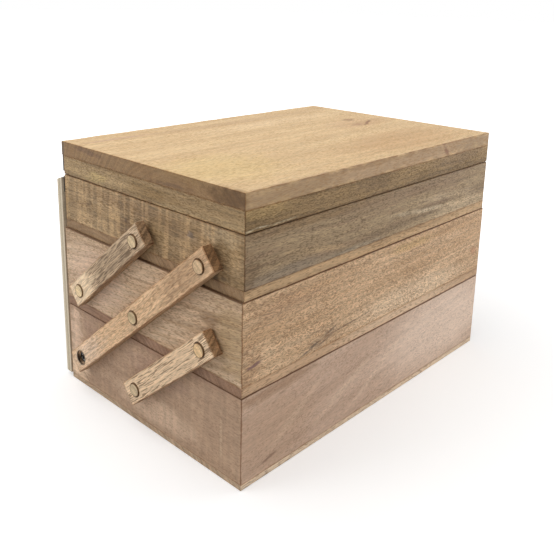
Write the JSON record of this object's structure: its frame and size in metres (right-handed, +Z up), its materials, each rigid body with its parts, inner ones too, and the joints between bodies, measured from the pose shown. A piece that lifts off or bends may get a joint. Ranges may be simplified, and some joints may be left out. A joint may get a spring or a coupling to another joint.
{
  "type": "cantilever sewing box",
  "caption": "Wooden cantilever sewing box: a base and stacked trays that swing up and back on wooden arms, with a hinged lid.",
  "frame": {"origin": "centre of the base's underside, on the table", "axes": "+X along the box to its right end, +Y to its back where the lid is hinged, +Z up"},
  "size_m": [0.3186, 0.2107, 0.2],
  "materials": {
    "wood_base": "sanded mango wood, rosy brown, open grain, matt oil finish",
    "wood_middle_tray": "sanded mango wood, tan with darker flecks, matt oil finish",
    "wood_top_tray": "sanded mango wood, grey brown to olive, matt oil finish",
    "wood_lid_board": "sanded mango wood, light honey tan with a knot, matt oil finish",
    "wood_lid_rim": "sanded mango wood, olive brown, matt oil finish",
    "wood_tray_bottom": "sanded wood, darker brown, matt oil finish",
    "wood_arm": "sanded mango wood, light tan with dark pores, matt oil finish",
    "wood_plug": "round-cut wooden plug, light tan, matt",
    "plywood": "thin plywood, greyish tan, unfinished edges",
    "steel_screw": "darkened steel wood screw",
    "steel_washer": "plain steel washer",
    "black_hinge": "black steel piano hinge"
  },
  "bodies": {
    "base": {"base_back_wall": "wood_base", "base_bottom_panel": "plywood", "base_front_wall": "wood_base", "base_left_wall": "wood_base", "base_pivot_screws": "steel_screw", "base_pivot_washers": "steel_washer", "base_right_wall": "wood_base"},
    "long_arm_left": {"long_arm_left": "wood_arm", "long_arm_left_plugs": "wood_plug"},
    "long_arm_right": {"long_arm_right": "wood_arm", "long_arm_right_plugs": "wood_plug"},
    "lower_arm_left": {"lower_arm_left": "wood_arm", "lower_arm_left_plugs": "wood_plug"},
    "lower_arm_right": {"lower_arm_right": "wood_arm", "lower_arm_right_plugs": "wood_plug"},
    "middle_tray": {"middle_tray_back_wall": "wood_middle_tray", "middle_tray_bottom_board": "wood_tray_bottom", "middle_tray_front_wall": "wood_middle_tray", "middle_tray_left_wall": "wood_middle_tray", "middle_tray_pivot_screws": "steel_screw", "middle_tray_pivot_washers": "steel_washer", "middle_tray_right_wall": "wood_middle_tray"},
    "upper_arm_left": {"upper_arm_left": "wood_arm", "upper_arm_left_plugs": "wood_plug"},
    "upper_arm_right": {"upper_arm_right": "wood_arm", "upper_arm_right_plugs": "wood_plug"},
    "top_tray": {"hinge_pin": "black_hinge", "hinge_tray_leaf": "black_hinge", "hinge_tray_screws": "black_hinge", "support_board": "plywood", "support_board_screws": "steel_screw", "support_board_washers": "steel_washer", "top_tray_back_wall": "wood_top_tray", "top_tray_bottom_board": "wood_tray_bottom", "top_tray_front_wall": "wood_top_tray", "top_tray_left_wall": "wood_top_tray", "top_tray_pivot_screws": "steel_screw", "top_tray_pivot_washers": "steel_washer", "top_tray_right_wall": "wood_top_tray"},
    "lid": {"hinge_lid_leaf": "black_hinge", "hinge_lid_screws": "black_hinge", "lid_back_rail": "wood_lid_rim", "lid_board": "wood_lid_board", "lid_front_rail": "wood_lid_rim", "lid_left_rail": "wood_lid_rim", "lid_right_rail": "wood_lid_rim"}
  },
  "joints": [
    {"name": "fold", "type": "hinge", "parent": "base", "child": "long_arm_left", "pos_m": [-0.1548, 0.0725, 0.0315], "axis": [-1, 0, 0], "range_deg": [0, 101.4]},
    {"name": "long_arm_right_pivot", "type": "hinge", "parent": "base", "child": "long_arm_right", "pos_m": [0.1548, 0.0725, 0.0315], "axis": [-1, 0, 0], "range_deg": [0, 101.4]},
    {"name": "lower_arm_left_pivot", "type": "hinge", "parent": "base", "child": "lower_arm_left", "pos_m": [-0.1548, 0.001, 0.0335], "axis": [-1, 0, 0], "range_deg": [0, 101.4]},
    {"name": "lower_arm_right_pivot", "type": "hinge", "parent": "base", "child": "lower_arm_right", "pos_m": [0.1548, 0.001, 0.0335], "axis": [-1, 0, 0], "range_deg": [0, 101.4]},
    {"name": "middle_tray_pivot", "type": "hinge", "parent": "long_arm_left", "child": "middle_tray", "pos_m": [-0.1548, 0.00103, 0.09], "axis": [-1, 0, 0], "range_deg": [-101.4, 0]},
    {"name": "top_tray_pivot", "type": "hinge", "parent": "long_arm_left", "child": "top_tray", "pos_m": [-0.1548, -0.07045, 0.1485], "axis": [-1, 0, 0], "range_deg": [-101.4, 0]},
    {"name": "upper_arm_left_pivot", "type": "hinge", "parent": "middle_tray", "child": "upper_arm_left", "pos_m": [-0.1548, 0.07003, 0.0888], "axis": [-1, 0, 0], "range_deg": [0, 101.4]},
    {"name": "upper_arm_right_pivot", "type": "hinge", "parent": "middle_tray", "child": "upper_arm_right", "pos_m": [0.1548, 0.07003, 0.0888], "axis": [-1, 0, 0], "range_deg": [0, 101.4]},
    {"name": "lid_hinge", "type": "hinge", "parent": "top_tray", "child": "lid", "pos_m": [0, 0.1031, 0.174], "axis": [-1, 0, 0], "range_deg": [0, 125]}
  ],
  "couplings": [
    {"joint": "long_arm_right_pivot", "follows": "fold", "ratio": 1},
    {"joint": "lower_arm_left_pivot", "follows": "fold", "ratio": 1},
    {"joint": "lower_arm_right_pivot", "follows": "fold", "ratio": 1},
    {"joint": "middle_tray_pivot", "follows": "fold", "ratio": -1},
    {"joint": "top_tray_pivot", "follows": "fold", "ratio": -1},
    {"joint": "upper_arm_left_pivot", "follows": "fold", "ratio": 1},
    {"joint": "upper_arm_right_pivot", "follows": "fold", "ratio": 1}
  ]
}
